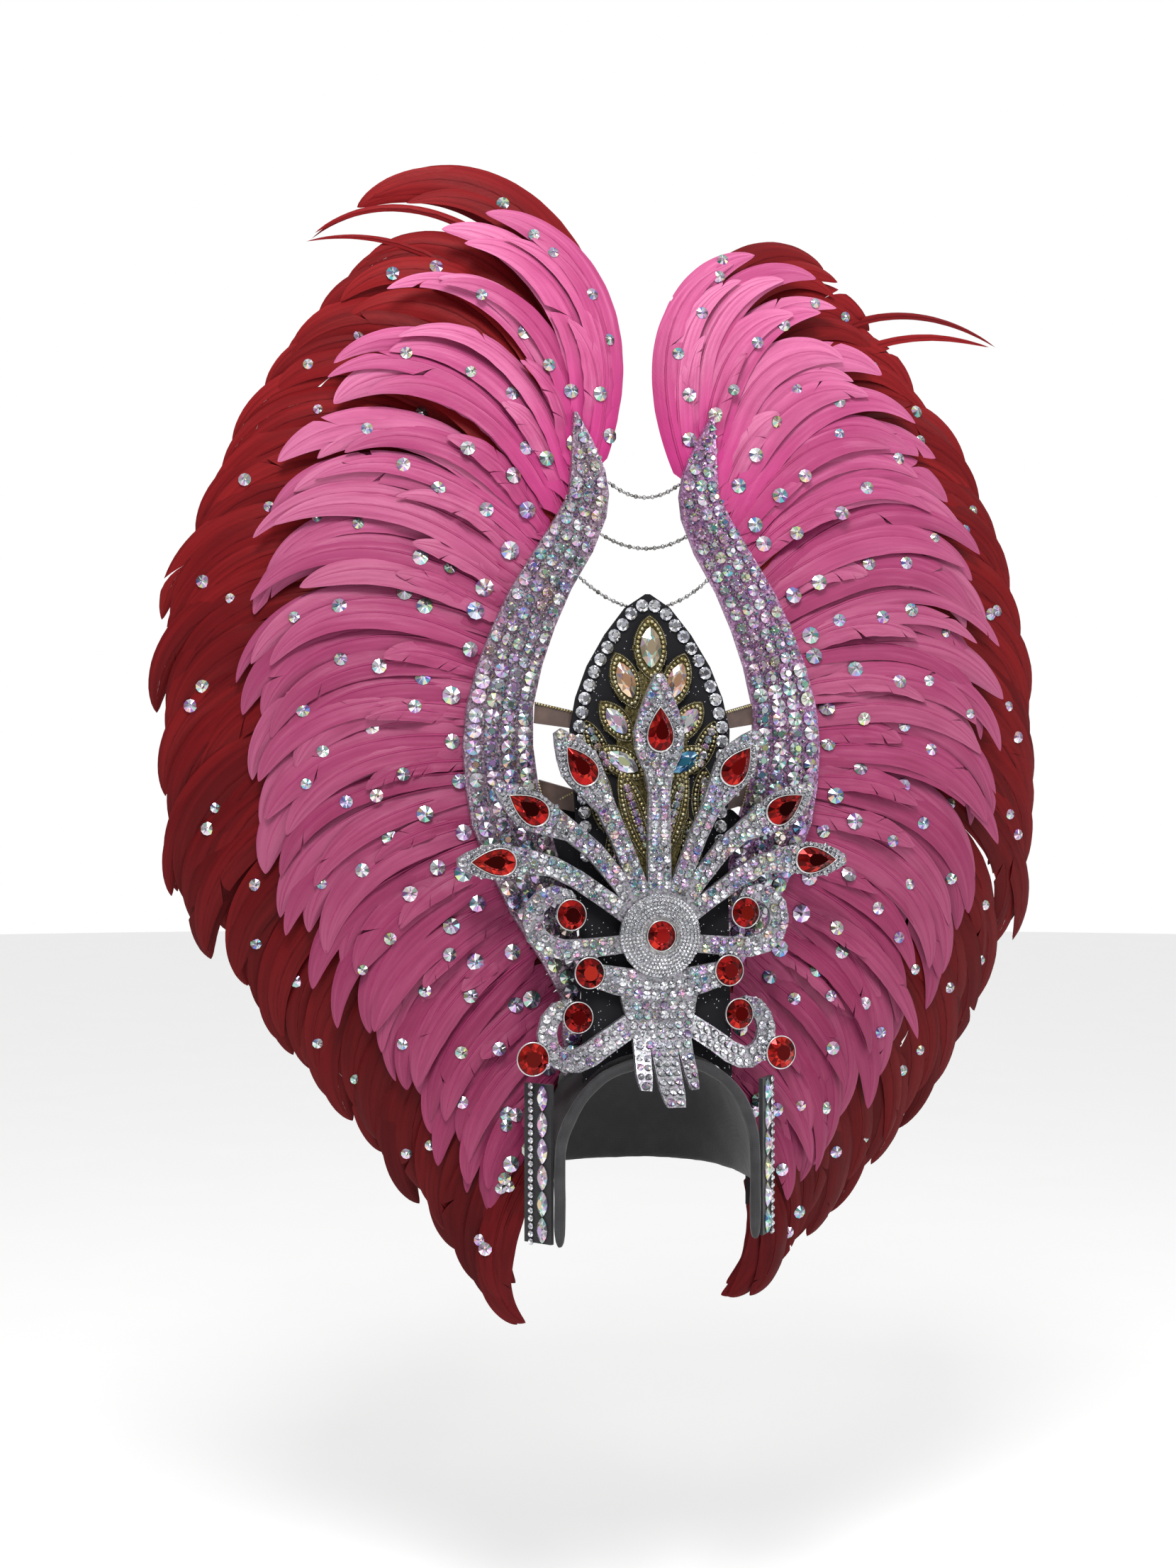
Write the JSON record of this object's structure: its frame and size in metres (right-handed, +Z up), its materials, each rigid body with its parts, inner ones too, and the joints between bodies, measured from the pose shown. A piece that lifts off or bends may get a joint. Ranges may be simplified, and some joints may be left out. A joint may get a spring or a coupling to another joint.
{
  "type": "carnival feather headdress",
  "caption": "Carnival headdress: a padded cap with stone-set horns, a pointed plaque, a jewelled front spray and two wide fans of pink and red feathers.",
  "frame": {"origin": "top of the hollow that the head fills, on the inside of the cap", "axes": "+Z up, -Y the way the wearer faces, +X to the wearer's left"},
  "size_m": [0.7017, 0.1912, 0.8234],
  "materials": {
    "black_cloth": "matte black stretch cloth over padding",
    "black_board": "black felt over stiff board with fine glitter",
    "crystal_cloth": "cloth closely set with silver-backed iridescent stones",
    "crystal": "polished clear cut stones, silver backed",
    "red_stone": "polished red cut stones, silver backed",
    "antique_gold": "antique gold beads and cord",
    "silver_chain": "fine polished silver chain",
    "brown_cloth": "brown satin strip",
    "pink_feather": "dyed pink feathers",
    "red_feather": "dyed dark red feathers"
  },
  "bodies": {
    "root": {"applique": "antique_gold", "brace_lower": "brown_cloth", "brace_upper": "brown_cloth", "chain_low": "silver_chain", "chain_middle": "silver_chain", "chain_top": "silver_chain", "cheek_strap_left": "black_cloth", "cheek_strap_right": "black_cloth", "face_rim": "black_cloth", "front_ornament": "crystal_cloth", "head_cap": "black_cloth", "horn_left": "crystal_cloth", "horn_right": "crystal_cloth", "marquise_side_left": "crystal", "marquise_side_right": "crystal", "marquise_top_middle": "crystal", "marquise_upper_left": "crystal", "marquise_upper_right": "crystal", "marquise_wing_left": "crystal", "marquise_wing_right": "crystal", "medallion": "crystal_cloth", "pink_plume_left": "pink_feather", "pink_plume_right": "pink_feather", "plaque": "black_board", "plaque_edge_stones": "crystal", "red_plume_left": "red_feather", "red_plume_right": "red_feather", "red_round_centre": "red_stone", "red_round_curl_left": "red_stone", "red_round_curl_right": "red_stone", "red_round_hook_left": "red_stone", "red_round_hook_right": "red_stone", "red_round_smile_left": "red_stone", "red_round_smile_right": "red_stone", "red_round_tip_left": "red_stone", "red_round_tip_right": "red_stone", "red_tear_inner_arm_left": "red_stone", "red_tear_inner_arm_right": "red_stone", "red_tear_middle_arm_left": "red_stone", "red_tear_middle_arm_right": "red_stone", "red_tear_outer_arm_left": "red_stone", "red_tear_outer_arm_right": "red_stone", "red_tear_top_arm_middle": "red_stone", "strap_stones_left": "crystal", "strap_stones_right": "crystal", "wing_frame_left": "black_board", "wing_frame_right": "black_board"}
  },
  "joints": []
}
